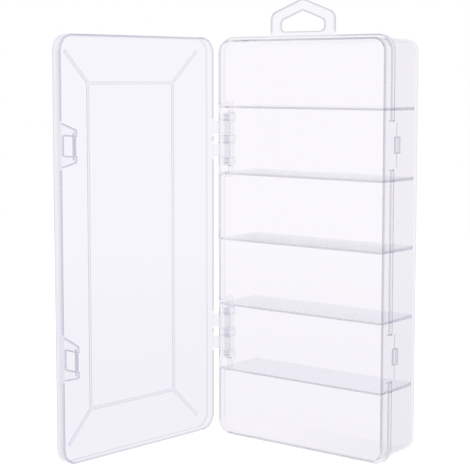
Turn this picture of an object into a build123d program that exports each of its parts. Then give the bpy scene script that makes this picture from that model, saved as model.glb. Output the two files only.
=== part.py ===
from build123d import *
import os
from math import cos, hypot, radians, sin

# Clear small parts organizer box: a divided tray, and a lid that clips on to the tray's hinge pins.
# It stands on its end with the lid open. +Z is up, the tray opens towards -Y and its back faces +Y,
# and the hinge is on the -X side. The origin is the middle of the flange's lower edge.

# Rim outline, which the tray's flange and the lid share
rim_width = 89.0
rim_height = 178.0
rim_corner = 7.0

# Lid
open_angle = 95.0
lid_wall = 0.85
lid_gap = 0.5
rim_gap = 0.1
lid_edge = 4.5
lid_panel = 0.9
lid_round = 0.3
lid_inside_round = 1.5
hip_margin = 20.0
hip_rise = 1.45
hip_corner = 0.5
bead_width = 1.3
bead_height = 0.3
bead_stop = 6.8
dot_radius = 0.9

# Tray
tray_depth = 26.6
tray_wall = 0.95
back_wall = 1.2
wall_lean = 0.5
back_round = 0.6
back_inside_round = 1.0
lip_height = 2.75
flange_depth = 2.6
edge_round = 0.25

# Partitions
compartments = 6
end_less_tall = 0.5
divider_front = 0.9
divider_back = 1.5

# Hinges, one beside the second compartment from each end
pin_radius = 1.1
pin_clearance = 0.05
clip_wall = 1.15
clip_gap = 0.5
clip_relief = 0.35
clip_mouth = 70.0
clip_mouth_turn = 120.0
clip_side_gap = 0.4
ear_pitch = 10.1
ear_thickness = 3.7
ear_round = 1.4
ear_foot = 3.5
ear_overhang = 0.8
pin_cover = 0.9
pocket_length = 33.6
pocket_end = 1.2
pocket_set = 5.5
axis_behind = 1.0

# Latches, opposite the hinges
latch_base = 18.6
latch_end = 13.4
latch_corner = 1.2
latch_side_gap = 0.4
window_start = 1.4
window_length = 6.3
latch_bar = 1.3
latch_horn = 0.6
grip_height = 0.5
grip_length = 1.1
catch_tall = 7.0
catch_play = 0.4
catch_clearance = 0.2
catch_length = 2.9
catch_front = 0.6
catch_proud = 1.3
ridge_size = 0.2
ridge_set = 2.0

# Hanging tab on the top flange
tab_thickness = 1.0
tab_half = 16.5
tab_rise = 15.5
tab_shoulder = 9.3
tab_side = 5.3
tab_roof = 4.7
tab_bridge = 1.7
tab_foot = 0.5
tab_strip = 0.4
tab_round = 4.0
slot_round = 2.0

# Hairline where one moulding is divided into its named pieces
seam = 0.04

# Tray, worked out
flange_step = lid_wall + lid_gap
flange_front = -flange_depth / 2
lip_front = flange_front - lip_height
back_outside = lip_front + tray_depth
back_inside = back_outside - back_wall
lip_width = rim_width - 2 * flange_step
lip_tall = rim_height - 2 * flange_step
lip_corner = rim_corner - flange_step
flange_hold = flange_step + tray_wall / 2
closed_rim = flange_front - rim_gap
catch_back = closed_rim + window_start + window_length - catch_clearance
catch_start = catch_back - catch_length
ridge_depth = catch_start + ridge_set
ridge_length = (latch_base - catch_tall) / 2 - seam
tray_face = Plane(origin=(0, 0, rim_height / 2), x_dir=(1, 0, 0), z_dir=(0, -1, 0))

# Partitions and fittings, worked out
clear_total = lip_tall - 2 * tray_wall - (compartments - 1) * divider_front
clear_height = (clear_total + 2 * end_less_tall) / compartments
divider_pitch = clear_height + divider_front
divider_rises = [divider_pitch * (compartments / 2 - n) for n in range(1, compartments)]
fitting_rise = divider_pitch * (compartments - 3) / 2
fittings = {"upper": fitting_rise, "lower": -fitting_rise}

# Hinge, worked out
clip_radius = pin_radius + pin_clearance + clip_wall
pocket_front = flange_front + pocket_set
pocket_back = pocket_front + flange_depth
axis_x = -(lip_width / 2 + clip_radius + clip_gap)
axis_y = pocket_front + axis_behind
clip_width = ear_pitch - ear_thickness - 2 * clip_side_gap
hinge_half = ear_pitch + ear_thickness / 2

# Lid, worked out: its planes turn about the hinge line with the lid
turn = radians(open_angle)
along = Vector(cos(turn), -sin(turn), 0)
outward = Vector(-sin(turn), -cos(turn), 0)
lid_face = Plane(origin=(axis_x, axis_y, rim_height / 2), x_dir=along, z_dir=outward)
rim_level = axis_y - closed_rim
lid_middle = -axis_x


def lean(y):
    # How far each wall has leant in at depth y
    return wall_lean * (y - lip_front) / tray_depth


def wall_half(y):
    # Outside of the side walls at depth y, from the middle
    return lip_width / 2 - lean(y)


def wall_outline(y, inset):
    # Rounded rectangle of the walls at depth y, inset from their outside
    shrink = lean(y) + inset
    RectangleRounded(lip_width - 2 * shrink, lip_tall - 2 * shrink, lip_corner - shrink)


def save(part, name):
    part.label = name
    export_step(part, f"parts/{name}.step")
    print(name, len(part.solids()), round(part.volume, 2))


os.makedirs("parts", exist_ok=True)

# Space inside the tray's walls
with BuildPart() as tray_space:
    for y in (lip_front, back_inside):
        with BuildSketch(tray_face.offset(-y)):
            wall_outline(y, tray_wall)
    loft()
    fillet(tray_space.faces().sort_by(Axis.Y)[-1].edges(), back_inside_round)

# Flange round the walls, with gaps for the hinges and the latches
with BuildPart() as flange:
    with BuildSketch(tray_face.offset(-flange_front)):
        RectangleRounded(rim_width, rim_height, rim_corner)
    extrude(amount=-flange_depth)
    fillet(flange.edges().group_by(Axis.Y)[0] + flange.edges().group_by(Axis.Y)[-1], edge_round)
    with BuildSketch(tray_face.offset(-flange_front)):
        inner = 2 * flange_hold
        RectangleRounded(rim_width - inner, rim_height - inner, rim_corner - flange_hold)
        for rise in fittings.values():
            with Locations((-rim_width / 2, rise)):
                Rectangle(inner, pocket_length - pocket_end)
            with Locations((rim_width / 2, rise)):
                Rectangle(inner, latch_base + 2 * latch_side_gap)
    extrude(amount=-flange_depth, mode=Mode.SUBTRACT)

with BuildPart() as tray_shell:
    for y in (lip_front, back_outside):
        with BuildSketch(tray_face.offset(-y)):
            wall_outline(y, 0)
    loft()
    fillet(tray_shell.faces().sort_by(Axis.Y)[-1].edges(), back_round)
    add(flange.part)
    # Flange set back behind each hinge, open where the ears stand
    with BuildSketch(Plane.YZ.offset(-rim_width / 2)):
        for rise in fittings.values():
            height = rim_height / 2 + rise
            with Locations(((flange_front + pocket_back) / 2, height)):
                Rectangle(pocket_back - flange_front, pocket_length)
            with Locations(((flange_front + pocket_front) / 2, height)):
                Rectangle(pocket_set, pocket_length - 2 * pocket_end, mode=Mode.SUBTRACT)
            for step in (-ear_pitch, 0, ear_pitch):
                with Locations(((pocket_front + pocket_back) / 2, height + step)):
                    Rectangle(flange_depth, ear_thickness + 2 * seam, mode=Mode.SUBTRACT)
    extrude(amount=flange_hold)
    # Hollow in the set-back flange for the turning clips
    for rise in fittings.values():
        with BuildSketch(Plane.XY.offset(rim_height / 2 + rise - ear_pitch)):
            with Locations((axis_x, axis_y)):
                Circle(clip_radius + clip_relief)
        extrude(amount=2 * ear_pitch, mode=Mode.SUBTRACT)
    # Low ridge above and below each catch
    for rise in fittings.values():
        for start in (-latch_base / 2, catch_tall / 2 + seam):
            with BuildSketch(Plane.XY.offset(rim_height / 2 + rise + start)):
                with Locations((wall_half(ridge_depth), ridge_depth)):
                    Circle(ridge_size)
            extrude(amount=ridge_length)
    add(tray_space.part, mode=Mode.SUBTRACT)
    fillet(tray_shell.faces().sort_by(Axis.Y)[0].edges(), edge_round)
save(tray_shell.part, "tray_shell")

for number, rise in enumerate(divider_rises, 1):
    with BuildPart() as divider:
        for y, thickness in ((lip_front, divider_front), (back_inside - seam, divider_back)):
            with BuildSketch(tray_face.offset(-y)):
                with Locations((0, rise)):
                    Rectangle(2 * (wall_half(y) - tray_wall - seam), thickness)
        loft()
        back_corners = divider.edges().filter_by(Axis.Z).group_by(Axis.Y)[-1]
        fillet(back_corners, back_inside_round - seam)
    save(divider.part, f"divider_{number}")

# House-shaped tab with a slot of the same shape
roof_slope = (tab_rise - tab_shoulder) / tab_half
slot_half = tab_half - tab_side
slot_top = tab_rise - tab_roof * hypot(1, roof_slope)
slot_shoulder = slot_top - roof_slope * slot_half
with BuildPart() as hanging_tab:
    with BuildSketch(tray_face.offset(-flange_front)):
        top = rim_height / 2
        foot = top + seam
        with BuildLine():
            Polyline(
                (-tab_half, foot),
                (-tab_half, top + tab_shoulder),
                (0, top + tab_rise),
                (tab_half, top + tab_shoulder),
                (tab_half, foot),
                close=True,
            )
        make_face()
        with Locations((0, foot + tab_strip / 2)):
            Rectangle(2 * (tab_half + tab_foot), tab_strip)
        fillet(vertices().filter_by_position(Axis.Y, top + tab_shoulder - 1, top + tab_rise + 1), tab_round)
        inner_corners = vertices().filter_by_position(Axis.Y, foot + tab_strip / 2, foot + 2 * tab_strip)
        fillet(inner_corners.filter_by_position(Axis.X, -tab_half - 0.1, tab_half + 0.1), tab_foot * 0.9)
        with BuildSketch(mode=Mode.PRIVATE) as slot:
            with BuildLine():
                Polyline(
                    (-slot_half, top + tab_bridge),
                    (-slot_half, top + slot_shoulder),
                    (0, top + slot_top),
                    (slot_half, top + slot_shoulder),
                    (slot_half, top + tab_bridge),
                    close=True,
                )
            make_face()
            fillet(slot.vertices(), slot_round)
        add(slot.sketch, mode=Mode.SUBTRACT)
    extrude(amount=-tab_thickness)
save(hanging_tab.part, "hanging_tab")

# Ears that carry the hinge pins
foot_front = axis_y - ear_foot
foot_back = pocket_back + ear_overhang
pin_half = hinge_half - pin_cover
for place, rise in fittings.items():
    for number, step in enumerate((ear_pitch, 0, -ear_pitch), 1):
        middle = rim_height / 2 + rise + step
        with BuildPart() as ear:
            with BuildSketch(Plane.XY.offset(middle - ear_thickness / 2)):
                with BuildLine():
                    Line(
                        (-wall_half(foot_front) - seam, foot_front),
                        (-wall_half(foot_back) - seam, foot_back),
                    )
                    CenterArc((axis_x, axis_y), clip_radius, 0, 360)
                make_hull()
            extrude(amount=ear_thickness)
            if step:
                outer_face = ear.faces().sort_by(Axis.Z)[-1 if step > 0 else 0]
                rim = outer_face.edges().sort_by(Axis.X)[:-1]
                fillet(rim, ear_round)
            with BuildSketch(Plane.XY.offset(rim_height / 2 + rise - pin_half)):
                with Locations((axis_x, axis_y)):
                    Circle(pin_radius + seam)
            extrude(amount=2 * pin_half, mode=Mode.SUBTRACT)
        save(ear.part, f"{place}_hinge_ear_{number}")

    with BuildPart() as pin:
        with BuildSketch(Plane.XY.offset(rim_height / 2 + rise - pin_half + seam)):
            with Locations((axis_x, axis_y)):
                Circle(pin_radius)
        extrude(amount=2 * (pin_half - seam))
    save(pin.part, f"{place}_hinge_pin")

# Catch nubs: a ramp in front and a steep back that holds the latch
for place, rise in fittings.items():
    with BuildPart() as catch:
        with BuildSketch(Plane.XY.offset(rim_height / 2 + rise - catch_tall / 2)):
            with BuildLine():
                Polyline(
                    (wall_half(catch_start) + seam, catch_start),
                    (wall_half(catch_start) + catch_front, catch_start),
                    (wall_half(catch_back) + catch_proud, catch_back),
                    (wall_half(catch_back) + seam, catch_back),
                    close=True,
                )
            make_face()
        extrude(amount=catch_tall)
    save(catch.part, f"{place}_catch")


def hip_levels(drop, inset):
    # Rounded rectangles of the hipped lid as (level, margin, corner) from the rim up, which for the
    # lid's inside lie lower by drop and further in by inset
    edge_level = rim_level + lid_edge - drop
    return (
        (rim_level, inset, rim_corner - inset),
        (edge_level + hip_rise * inset / hip_margin, inset, rim_corner - inset),
        (edge_level + hip_rise, hip_margin, hip_corner),
    )


# Hipped block and the space under it, for the lid's outside and its inside
hips = []
for drop, inset in ((0, 0), (lid_panel, lid_wall)):
    levels = hip_levels(drop, inset)
    with BuildPart() as hip:
        for low, high in zip(levels, levels[1:]):
            for level, margin, corner in (low, high):
                with BuildSketch(lid_face.offset(level)):
                    with Locations((lid_middle, 0)):
                        RectangleRounded(rim_width - 2 * margin, rim_height - 2 * margin, corner)
            loft(ruled=True)
    hips.append(hip.part)


def on_panel_edge(edge, drop=0):
    # Whether an edge is on the corner line between the lid's wall and its hipped panel, which lies
    # lower by drop inside
    place = lid_face.to_local_coords(edge.center())
    in_width = rim_width / 2 - abs(place.X - lid_middle)
    in_height = rim_height / 2 - abs(place.Y)
    return place.Z > rim_level + lid_edge - drop - seam and min(in_width, in_height) < rim_corner / 2


def on_hip(margin, side, end):
    # Point of the hip line at a margin from the lid's edges, on one side and at one end of the lid
    rounded_off = rim_corner * (1 - cos(radians(45)))
    level = rim_level + lid_edge + hip_rise * (margin - rounded_off) / (hip_margin - rounded_off)
    return lid_middle + side * (rim_width / 2 - margin), end * (rim_height / 2 - margin), level


# Space under the lid, rounded where its wall meets the panel
with BuildPart() as lid_space:
    add(hips[1])
    fillet(lid_space.edges().filter_by(lambda edge: on_panel_edge(edge, lid_panel)), lid_inside_round)

with BuildPart() as lid_shell:
    add(hips[0])
    fillet(lid_shell.edges().filter_by(on_panel_edge), lid_round)
    # Bead round the flat middle
    with BuildSketch(lid_face.offset(rim_level + lid_edge + hip_rise - bead_height)):
        with Locations((lid_middle, 0)):
            for step, mode in ((-bead_width / 2, Mode.ADD), (bead_width / 2, Mode.SUBTRACT)):
                margin = hip_margin + step
                Rectangle(rim_width - 2 * margin, rim_height - 2 * margin, mode=mode)
    extrude(amount=2 * bead_height)
    # Bead down each hip line, with a dot where it ends on the hinge side
    for side, end in ((-1, -1), (-1, 1), (1, -1), (1, 1)):
        start = lid_face.from_local_coords(on_hip(hip_margin, side, end))
        stop = lid_face.from_local_coords(on_hip(bead_stop, side, end))
        down = (stop - start).normalized()
        with BuildSketch(Plane(origin=start, x_dir=outward.cross(down), z_dir=down)):
            Rectangle(bead_width, 2 * bead_height)
        extrude(amount=(stop - start).length)
        if side < 0:
            x, y, level = on_hip(bead_stop, side, end)
            with BuildSketch(lid_face.offset(level - bead_height)):
                with Locations((x, y)):
                    Circle(dot_radius)
            extrude(amount=2 * bead_height)
    add(lid_space.part, mode=Mode.SUBTRACT)
save(lid_shell.part, "lid_shell")

# Clips that turn on the pins: a ring with a mouth, on an arm from the lid's rim
arm_inside = -axis_x - rim_width / 2
arm_outside = arm_inside + lid_wall
mouth_reach = 2 * clip_radius
mouth_turns = [radians(clip_mouth_turn + side * clip_mouth / 2) for side in (-1, 1)]
for place, rise in fittings.items():
    for number, side in enumerate((1, -1), 1):
        bottom = rim_height / 2 + rise + side * ear_pitch / 2 - clip_width / 2
        with BuildPart() as clip:
            section = Plane(origin=(axis_x, axis_y, bottom), x_dir=along, z_dir=(0, 0, 1))
            with BuildSketch(section):
                with BuildLine():
                    Line((arm_inside, seam - rim_level), (arm_outside, seam - rim_level))
                    CenterArc((0, 0), clip_radius, 0, 360)
                make_hull()
                Circle(pin_radius + pin_clearance, mode=Mode.SUBTRACT)
                mouth = [(mouth_reach * cos(a), mouth_reach * sin(a)) for a in mouth_turns]
                Polygon((0, 0), *mouth, align=None, mode=Mode.SUBTRACT)
            extrude(amount=clip_width)
        save(clip.part, f"{place}_hinge_clip_{number}")

# Latches: tongues that carry on the lid's free wall, with a window for the catch
latch_reach = window_start + window_length + latch_bar
window_tall = catch_tall + 2 * catch_play
latch_corner_point = lid_face.from_local_coords((lid_middle + rim_width / 2, 0, rim_level))
for place, rise in fittings.items():
    with BuildPart() as latch:
        latch_face = Plane(origin=latch_corner_point, x_dir=-outward, z_dir=along)
        with BuildSketch(latch_face):
            with BuildLine():
                Polyline(
                    (seam, rise - latch_base / 2),
                    (latch_reach + latch_horn, rise - latch_end / 2),
                    (latch_reach + latch_horn, rise + latch_end / 2),
                    (seam, rise + latch_base / 2),
                    close=True,
                )
            make_face()
            fillet(vertices().group_by(Axis.X)[-1], latch_corner)
            with Locations((latch_reach + latch_horn / 2, rise)):
                Rectangle(latch_horn, window_tall, mode=Mode.SUBTRACT)
            with Locations((window_start + window_length / 2, rise)):
                Rectangle(window_length, window_tall, mode=Mode.SUBTRACT)
        extrude(amount=-lid_wall)
        # Finger grips outside the two end corners
        grip_width = (latch_end - window_tall) / 2 - latch_corner
        with BuildSketch(latch_face):
            for side in (-1, 1):
                grip_rise = rise + side * (window_tall + grip_width) / 2
                with Locations((latch_reach + latch_horn - grip_length / 2, grip_rise)):
                    Rectangle(grip_length, grip_width)
        extrude(amount=grip_height)
    save(latch.part, f"{place}_latch")
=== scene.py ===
import math

import bpy
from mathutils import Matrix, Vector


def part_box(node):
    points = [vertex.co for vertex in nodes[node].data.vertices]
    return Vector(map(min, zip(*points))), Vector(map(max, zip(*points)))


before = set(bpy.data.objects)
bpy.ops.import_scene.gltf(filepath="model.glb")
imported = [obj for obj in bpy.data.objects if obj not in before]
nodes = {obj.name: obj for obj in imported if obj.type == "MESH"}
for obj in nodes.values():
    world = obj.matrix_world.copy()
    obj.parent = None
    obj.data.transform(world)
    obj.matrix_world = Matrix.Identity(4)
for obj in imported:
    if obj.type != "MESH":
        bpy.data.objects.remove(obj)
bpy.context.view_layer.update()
millimetre = 0.001
print("frame loaded:", len(nodes), "nodes")


def hexToLinear(code):  # sRGB hex to linear: a straight foot below 0.04, a power of 2.4 above
    channels = [int(code[i:i + 2], 16) / 255 for i in (1, 3, 5)]
    return [c / 12.92 if c <= 0.04045 else ((c + 0.055) / 1.055) ** 2.4 for c in channels] + [1.0]


def addNode(tree, kind, values=None, links=None, **settings):  # one node with its settings, values and links
    node = tree.nodes.new(kind)
    for name, setting in settings.items():
        setattr(node, name, setting)
    for name, value in (values or {}).items():
        node.inputs[name].default_value = value
    for name, socket in (links or {}).items():
        tree.links.new(socket, node.inputs[name])
    return node


def newMaterial(name):
    material = bpy.data.materials.new(name)
    material.use_nodes = True
    material.node_tree.nodes.clear()
    return material, material.node_tree


plainWhite = hexToLinear("#FFFFFF")

# Clear polypropylene, injection moulded in a polished tool: a pane that the eye looks straight through,
# with painted shade that greys its walls and a painted grey-violet shade line where an edge leaves little
# plastic round a point, and a gloss that handling has dulled a little in patches.
clearPlastic = {
    # pane: near white, set darker on some pieces as painted shade
    "paneShade": "#FDFDFD",
    "paneWay": (0, 1, 0),       # the way that the panes look, along which the walls stand
    "away": (1, 0, 0),          # from the hinge across the piece
    # wall: painted shade on faces that stand along the panes' way, deeper away from the hinge
    "wall": "#FDFDFD",
    "wallFacing": (0.5, 0.2),   # cosine of a face's way and the panes': pane at the first, wall at the second
    "wallReach": (0.3, 1.0),    # widths from the hinge: pane up to the first, wall from the second
    # edge: painted shade, a grey-violet line on thin edges and corners
    "edge": "#CECBDA",
    "edgeWidth": 0.8,           # in millimetres, less than the thinnest wall
    "edgeRays": 8,
    "edgeOpen": (0.97, 0.8),    # share of rays that stay in plastic: no line at the first, full at the second
    "edgeSides": (1.0, 1.0),    # strength of the line at the hinge and one width away from it
    "edgeLevel": 1.0,           # and on faces that look up or down
    "edgeFloor": 1.0,           # and at the floor, where the white paper lights the edge
    "floorReach": 12.0,         # height where the floor's light ends, in millimetres
    "tint": "#C6C6C8",          # what the plastic's depth leaves of white
    "tintDepth": 16.0,          # per metre of plastic
    "ior": 1.1,                 # polypropylene has 1.49, but the panels hardly bend what is behind them
    "gloss": (0.02, 0.07),      # roughness on clean and on handled patches
    "patch": 22.0,              # size of a handled patch, in millimetres
    "patchDetail": (3.0, 0.6),  # octaves, and how much each keeps of the one before
    "patchEnds": (0.35, 0.7),   # noise: clean below the first, handled above the second
    "ripple": 34.0,             # length of the flow ripple, in millimetres
    "rippleDetail": 1.0,
    "rippleHeight": 0.03,       # in millimetres
    "shadow": "#DDDBEA",        # the light that one face lets through to the shadow
    "joinFade": 0.5,            # in millimetres, from no line at a join to the full line
    "joins": [],
}


def farFromJoin(tree, place, join, fade):  # 0 in the join's box, rising to 1 at the fade's distance from it
    low, high = join
    middle = [(a + b) / 2 for a, b in zip(low, high)]
    half = [(b - a) / 2 for a, b in zip(low, high)]
    off = addNode(tree, "ShaderNodeVectorMath", {1: middle}, {0: place}, operation="SUBTRACT")
    far = addNode(tree, "ShaderNodeVectorMath", None, {0: off.outputs["Vector"]}, operation="ABSOLUTE")
    past = addNode(tree, "ShaderNodeVectorMath", {1: half}, {0: far.outputs["Vector"]}, operation="SUBTRACT")
    outside = addNode(tree, "ShaderNodeVectorMath", {1: (0, 0, 0)}, {0: past.outputs["Vector"]},
                      operation="MAXIMUM")
    gap = addNode(tree, "ShaderNodeVectorMath", None, {0: outside.outputs["Vector"]}, operation="LENGTH")
    rise = addNode(tree, "ShaderNodeMapRange", {"From Max": fade}, {"Value": gap.outputs["Value"]})
    return rise.outputs["Result"]


def edgeLine(tree, place, way, across, look):  # mask of the painted edge shade: 1 on a full line, 0 off it
    # Rays into the plastic from the face, on its inner side whichever side is seen
    face = addNode(tree, "ShaderNodeNewGeometry")
    sign = addNode(tree, "ShaderNodeMapRange", {"To Min": 1.0, "To Max": -1.0},
                   {"Value": face.outputs["Backfacing"]})
    outward = addNode(tree, "ShaderNodeVectorMath", None,
                      {0: face.outputs["True Normal"], "Scale": sign.outputs["Result"]}, operation="SCALE")
    inside = addNode(tree, "ShaderNodeAmbientOcclusion", {"Distance": look["edgeWidth"] * millimetre},
                     {"Normal": outward.outputs["Vector"]},
                     samples=look["edgeRays"], inside=True, only_local=True)
    corner = addNode(tree, "ShaderNodeMapRange",
                     {"From Min": look["edgeOpen"][0], "From Max": look["edgeOpen"][1]},
                     {"Value": inside.outputs["AO"]})

    # The painted shade's strength by the distance from the hinge, the height over the floor, the face's way
    # and the joins
    side = addNode(tree, "ShaderNodeMapRange",
                   {"To Min": look["edgeSides"][0], "To Max": look["edgeSides"][1]}, {"Value": across})
    height = addNode(tree, "ShaderNodeSeparateXYZ", None, {"Vector": place}).outputs["Z"]
    overFloor = addNode(tree, "ShaderNodeMapRange",
                        {"From Max": look["floorReach"] * millimetre, "To Min": look["edgeFloor"]},
                        {"Value": height})
    up = addNode(tree, "ShaderNodeSeparateXYZ", None, {"Vector": way}).outputs["Z"]
    level = addNode(tree, "ShaderNodeMath", None, {0: up}, operation="ABSOLUTE")
    onLevel = addNode(tree, "ShaderNodeMapRange", {"To Min": 1.0, "To Max": look["edgeLevel"]},
                      {"Value": level.outputs["Value"]})
    shares = [node.outputs["Result"] for node in (corner, side, overFloor, onLevel)]
    shares += [farFromJoin(tree, place, join, look["joinFade"] * millimetre) for join in look["joins"]]
    line = shares[0]
    for share in shares[1:]:
        product = addNode(tree, "ShaderNodeMath", None, {0: line, 1: share}, operation="MULTIPLY")
        line = product.outputs["Value"]
    return line


def paneAndWallShade(tree, way, across, look):  # pane tone on faces that look the panes' way, else the painted wall shade
    along = addNode(tree, "ShaderNodeVectorMath", {1: look["paneWay"]}, {0: way}, operation="DOT_PRODUCT")
    facing = addNode(tree, "ShaderNodeMath", None, {0: along.outputs["Value"]}, operation="ABSOLUTE")
    upright = addNode(tree, "ShaderNodeMapRange",
                      {"From Min": look["wallFacing"][0], "From Max": look["wallFacing"][1]},
                      {"Value": facing.outputs["Value"]})
    reach = addNode(tree, "ShaderNodeMapRange",
                    {"From Min": look["wallReach"][0], "From Max": look["wallReach"][1]}, {"Value": across})
    wall = addNode(tree, "ShaderNodeMath", None,
                   {0: upright.outputs["Result"], 1: reach.outputs["Result"]}, operation="MULTIPLY")
    ground = addNode(tree, "ShaderNodeMixRGB",
                     {"Color1": hexToLinear(look["paneShade"]), "Color2": hexToLinear(look["wall"])},
                     {"Fac": wall.outputs["Value"]})
    return ground.outputs["Color"]


def makeClearPlastic(name, look):
    material, tree = newMaterial(name)
    own = addNode(tree, "ShaderNodeTexCoord")  # the piece's own place and way, which stay as it swings
    place = own.outputs["Object"]
    way = own.outputs["Normal"]

    # Gloss in patches, and the ripple of the plastic's flow
    octaves, keep = look["patchDetail"]
    patches = addNode(tree, "ShaderNodeTexNoise",
                      {"Scale": 1 / (look["patch"] * millimetre), "Detail": octaves, "Roughness": keep},
                      {"Vector": place})
    clean, handled = look["gloss"]
    gloss = addNode(tree, "ShaderNodeMapRange",
                    {"From Min": look["patchEnds"][0], "From Max": look["patchEnds"][1],
                     "To Min": clean, "To Max": handled}, {"Value": patches.outputs["Fac"]})
    ripple = addNode(tree, "ShaderNodeTexNoise",
                     {"Scale": 1 / (look["ripple"] * millimetre), "Detail": look["rippleDetail"]},
                     {"Vector": place})
    bump = addNode(tree, "ShaderNodeBump", {"Distance": look["rippleHeight"] * millimetre},
                   {"Height": ripple.outputs["Fac"]})

    # Tone: the pane or the painted wall shade, with the painted edge shade line over it
    fromHinge = addNode(tree, "ShaderNodeVectorMath", {1: hinge}, {0: place}, operation="SUBTRACT")
    widths = addNode(tree, "ShaderNodeVectorMath", {1: [a / width for a in look["away"]]},
                     {0: fromHinge.outputs["Vector"]}, operation="DOT_PRODUCT")
    across = widths.outputs["Value"]
    tone = addNode(tree, "ShaderNodeMixRGB", {"Color2": hexToLinear(look["edge"])},
                   {"Fac": edgeLine(tree, place, way, across, look),
                    "Color1": paneAndWallShade(tree, way, across, look)})
    plastic = addNode(tree, "ShaderNodeBsdfPrincipled", {"IOR": look["ior"], "Transmission Weight": 1.0},
                      {"Base Color": tone.outputs["Color"], "Roughness": gloss.outputs["Result"],
                       "Normal": bump.outputs["Normal"]})
    through = addNode(tree, "ShaderNodeBsdfTransparent", {"Color": hexToLinear(look["shadow"])})
    path = addNode(tree, "ShaderNodeLightPath")
    mix = addNode(tree, "ShaderNodeMixShader", None,
                  {0: path.outputs["Is Shadow Ray"], 1: plastic.outputs["BSDF"], 2: through.outputs["BSDF"]})
    depth = addNode(tree, "ShaderNodeVolumeAbsorption",
                    {"Color": hexToLinear(look["tint"]), "Density": look["tintDepth"]})
    addNode(tree, "ShaderNodeOutputMaterial", None,
            {"Surface": mix.outputs["Shader"], "Volume": depth.outputs["Volume"]})
    return material


# The hinge's axis, and the tray's width from it
pinLow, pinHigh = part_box("upper_hinge_pin")
hinge = [(a + b) / 2 for a, b in zip(pinLow, pinHigh)]
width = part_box("tray_shell")[1][0] - hinge[0]

# Boxes in which no painted edge shade shows: joins between named pieces that are one moulding, and a faint
# corner
unlined = {
    "tabRoom": 1.0,        # room round the tab's foot, in millimetres, as for the next three
    "clipRoom": 1.0,
    "latchRoom": 0.35,
    "dividerRoom": 0.2,
    "dividerFront": 0.1,   # share of a divider's depth, at its front, that keeps its line
    "cornerShare": 0.05,   # share of the tray's width and depth in its back corner on the hinge side
}


def boxAround(name, low, high, room):  # from low to high as shares of a node's box, with room round it in mm
    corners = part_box(name)
    size = [b - a for a, b in zip(*corners)]
    return ([a + s * t - room * millimetre for a, s, t in zip(corners[0], size, low)],
            [a + s * t + room * millimetre for a, s, t in zip(corners[0], size, high)])


def boxesAround(word, low, high, room):
    return [boxAround(name, low, high, room) for name in nodes if word in name]


tabFoot = boxAround("hanging_tab", (0, 0, 0), (1, 1, 0), unlined["tabRoom"])
cornerShare = unlined["cornerShare"]
backCorner = boxAround("tray_shell", (0, 1 - cornerShare, 0), (cornerShare, 1, 1), 0)
dividerRoots = boxesAround("divider", (0, unlined["dividerFront"], 0), (1, 1, 1), unlined["dividerRoom"])
clipRoots = boxesAround("clip", (0, 0, 0), (1, 1, 1), unlined["clipRoom"])
latchRoots = boxesAround("latch", (0, 0, 0), (0, 1, 1), unlined["latchRoom"])

# The same plastic piece by piece, each with its own painted shade: lines and walls darken away from the hinge
shadesByPiece = {
    "Tray": {"pieces": ["tray_shell"], "paneShade": "#FFFEFF", "wall": "#F6F6F7", "edge": "#BAB8C5",
             "edgeSides": (0.35, 1.0), "edgeLevel": 0.0, "edgeFloor": 0.1, "joins": [tabFoot, backCorner]},
    "Lid": {"pieces": ["lid_shell"], "paneShade": "#FBFBFD", "wall": "#F1F0F4", "wallReach": (0.5, 1.0),
            "paneWay": (1, 0, 0), "away": (0, -1, 0), "edgeSides": (0.75, 1.0),
            "joins": clipRoots + latchRoots},
    "Latch": {"pieces": ["latch"], "joins": latchRoots},
    "Tab": {"pieces": ["hanging_tab", "catch"], "edge": "#D6D4DF", "joins": [tabFoot]},
    "Divider": {"pieces": ["divider"], "paneShade": "#F5F5F8", "wall": "#CECCD8", "wallReach": (0.94, 0.97),
                "paneWay": (0, 0, 1), "edge": "#EAE8EF", "joins": dividerRoots},
    "Hinge": {"pieces": ["ear", "pin"], "paneShade": "#F8F8FA", "edge": "#E9E8ED"},
    "Clip": {"pieces": ["clip"], "edge": "#FAF9FC"},
}
for name, pieceShades in shadesByPiece.items():
    plastic = makeClearPlastic("clearPolypropylene" + name, {**clearPlastic, **pieceShades})
    pieces = [piece for piece in nodes if any(word in piece for word in pieceShades["pieces"])]
    for piece in pieces:
        nodes[piece].data.materials.clear()
        nodes[piece].data.materials.append(plastic)
    print("clear plastic set on", len(pieces), name.lower(), "nodes")

# Floor: pale paper that keeps the box's shadow near it and turns plain white further off. Through the plastic
# and in its gloss it shows nearly white, with a painted shadow that makes it a little darker close to the
# box.
floor = {
    "size": 12.0,             # in metres, as are the distances below
    "colour": "#F4F3F6",
    "glow": 0.36,             # brings the lit paper up to near white
    "nearTo": 0.45,           # paper up to here
    "farFrom": 1.1,           # plain white from here
    # seen tones: near white for rays in gloss and plastic, with a painted shadow near the box
    "paintedShadowNear": "#F6F5FA",
    "seenFar": "#FBFAFE",
    "seenReach": 0.7,         # from the painted shadow at the box to seenFar
}


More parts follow.
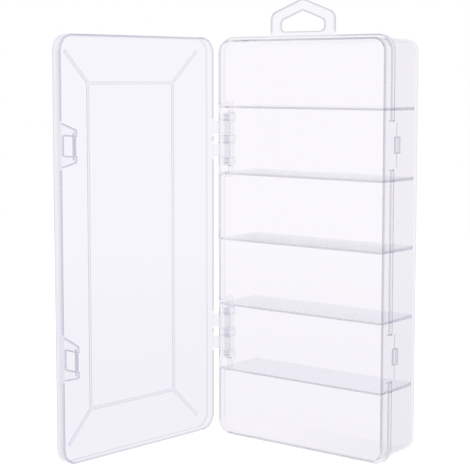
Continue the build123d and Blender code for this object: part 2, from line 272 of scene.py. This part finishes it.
def makeFloor(look):
    half = look["size"] / 2
    corners = [(-half, -half, 0), (half, -half, 0), (half, half, 0), (-half, half, 0)]
    mesh = bpy.data.meshes.new("studioFloor")
    mesh.from_pydata(corners, [], [(0, 1, 2, 3)])
    plane = bpy.data.objects.new("studioFloor", mesh)
    bpy.context.scene.collection.objects.link(plane)
    material, tree = newMaterial("paleStudioPaper")
    paper = addNode(tree, "ShaderNodeBsdfDiffuse", {"Color": hexToLinear(look["colour"])})
    glow = addNode(tree, "ShaderNodeEmission", {"Color": plainWhite, "Strength": look["glow"]})
    glowing = addNode(tree, "ShaderNodeAddShader", None,
                      {0: paper.outputs["BSDF"], 1: glow.outputs["Emission"]})
    place = addNode(tree, "ShaderNodeTexCoord").outputs["Object"]
    distance = addNode(tree, "ShaderNodeVectorMath", None, {0: place}, operation="LENGTH")
    paler = addNode(tree, "ShaderNodeMapRange", {"From Max": look["seenReach"]},
                    {"Value": distance.outputs["Value"]})
    seenWithShadow = addNode(tree, "ShaderNodeMixRGB",
                       {"Color1": hexToLinear(look["paintedShadowNear"]), "Color2": hexToLinear(look["seenFar"])},
                       {"Fac": paler.outputs["Result"]})
    far = addNode(tree, "ShaderNodeMapRange", {"From Min": look["nearTo"], "From Max": look["farFrom"]},
                  {"Value": distance.outputs["Value"]}, interpolation_type="SMOOTHSTEP")

    # The camera sees glowing paper near the box and even white far off, rays in gloss and plastic see the
    # near white tone with its painted shadow close to the box, and every other ray sees plain paper
    path = addNode(tree, "ShaderNodeLightPath")
    evenTone = addNode(tree, "ShaderNodeMixRGB", {"Color2": plainWhite},
                       {"Fac": path.outputs["Is Camera Ray"], "Color1": seenWithShadow.outputs["Color"]})
    even = addNode(tree, "ShaderNodeEmission", None, {"Color": evenTone.outputs["Color"]})
    inPlastic = addNode(tree, "ShaderNodeMath", None,
                        {0: path.outputs["Is Glossy Ray"], 1: path.outputs["Is Transmission Ray"]},
                        operation="MAXIMUM")
    isEven = addNode(tree, "ShaderNodeMath", None,
                     {0: inPlastic.outputs["Value"], 1: far.outputs["Result"]}, operation="MAXIMUM")
    isSeen = addNode(tree, "ShaderNodeMath", None,
                     {0: inPlastic.outputs["Value"], 1: path.outputs["Is Camera Ray"]}, operation="MAXIMUM")
    shown = addNode(tree, "ShaderNodeMixShader", None,
                    {0: isEven.outputs["Value"], 1: glowing.outputs["Shader"], 2: even.outputs["Emission"]})
    mix = addNode(tree, "ShaderNodeMixShader", None,
                  {0: isSeen.outputs["Value"], 1: paper.outputs["BSDF"], 2: shown.outputs["Shader"]})
    addNode(tree, "ShaderNodeOutputMaterial", None, {"Surface": mix.outputs["Shader"]})
    mesh.materials.append(material)


makeFloor(floor)

# Studio: plain white behind the box. The plastic shows near white, which deepens overhead to a soft violet.
studio = {
    "seen": "#FBFAFE",
    "ceiling": "#DAD7E6",
    "ceilingFrom": 0.35,   # how far a ray points up, from 0 level to 1 straight up: seen up to here
    "ceilingTo": 0.95,     # ceiling from here
    "level": 0.62,         # strength of its light on the box
}


def makeWorld(look):
    world = bpy.data.worlds.new("studio")
    world.use_nodes = True
    bpy.context.scene.world = world
    tree = world.node_tree
    tree.nodes.clear()
    way = addNode(tree, "ShaderNodeTexCoord").outputs["Generated"]
    up = addNode(tree, "ShaderNodeSeparateXYZ", None, {"Vector": way}).outputs["Z"]
    overhead = addNode(tree, "ShaderNodeMapRange",
                       {"From Min": look["ceilingFrom"], "From Max": look["ceilingTo"]}, {"Value": up})
    shade = addNode(tree, "ShaderNodeMixRGB",
                    {"Color1": hexToLinear(look["seen"]), "Color2": hexToLinear(look["ceiling"])},
                    {"Fac": overhead.outputs["Result"]})
    path = addNode(tree, "ShaderNodeLightPath")
    inPlastic = addNode(tree, "ShaderNodeMath", None,
                        {0: path.outputs["Is Glossy Ray"], 1: path.outputs["Is Transmission Ray"]},
                        operation="MAXIMUM")
    lit = addNode(tree, "ShaderNodeBackground", {"Color": plainWhite, "Strength": look["level"]})
    shown = addNode(tree, "ShaderNodeBackground", None, {"Color": shade.outputs["Color"]})
    plain = addNode(tree, "ShaderNodeBackground", {"Color": plainWhite})
    room = addNode(tree, "ShaderNodeMixShader", None,
                   {0: inPlastic.outputs["Value"], 1: lit.outputs["Background"],
                    2: shown.outputs["Background"]})
    mix = addNode(tree, "ShaderNodeMixShader", None,
                  {0: path.outputs["Is Camera Ray"], 1: room.outputs["Shader"],
                   2: plain.outputs["Background"]})
    addNode(tree, "ShaderNodeOutputWorld", None, {"Surface": mix.outputs["Shader"]})


makeWorld(studio)

# Softboxes: place and aim in metres, size in metres, power in watts
softboxes = {
    "keyLight": {"place": (0.7, -0.7, 1.0), "aim": (0, 0, 0.09), "size": 0.8, "power": 9.0},
    "fillLight": {"place": (-0.9, -0.5, 0.6), "aim": (0, 0, 0.09), "size": 0.7, "power": 4.0},
}
for name, look in softboxes.items():
    lamp = bpy.data.lights.new(name, "AREA")
    lamp.size = look["size"]
    lamp.energy = look["power"]
    holder = bpy.data.objects.new(name, lamp)
    way = Vector(look["aim"]) - Vector(look["place"])
    holder.location = look["place"]
    holder.rotation_euler = way.to_track_quat("-Z", "Y").to_euler()
    bpy.context.scene.collection.objects.link(holder)
print("studio lit")

# Camera, at the photograph's place
view = {
    "place": (334.86, -471.17, 160.23),  # in millimetres
    "azimuth": 38.247,                   # in degrees, as is the pitch
    "pitch": 5.431,                      # downwards, in place of most of the photograph's vertical shift
    "shift": (-0.0017, -0.06),           # in widths of the frame
    "lens": 104.04,                      # in millimetres, as is the sensor
    "sensor": 36.0,
    "clip": (0.01, 50.0),                # in metres
}
camera = bpy.data.cameras.new("camera")
camera.lens = view["lens"]
camera.sensor_width = view["sensor"]
camera.shift_x, camera.shift_y = view["shift"]
camera.clip_start, camera.clip_end = view["clip"]
eye = bpy.data.objects.new("camera", camera)
eye.location = [v * millimetre for v in view["place"]]
eye.rotation_euler = (math.radians(90 - view["pitch"]), 0, math.radians(view["azimuth"]))
scene = bpy.context.scene
scene.collection.objects.link(eye)
bpy.context.scene.camera = eye
scene.view_settings.view_transform = "Standard"
print("camera set")

# Light goes through many walls of clear plastic, and along them, before it reaches the eye
bounces = 200
for limit in ("max_bounces", "transmission_bounces", "glossy_bounces", "transparent_max_bounces"):
    setattr(scene.cycles, limit, bounces)
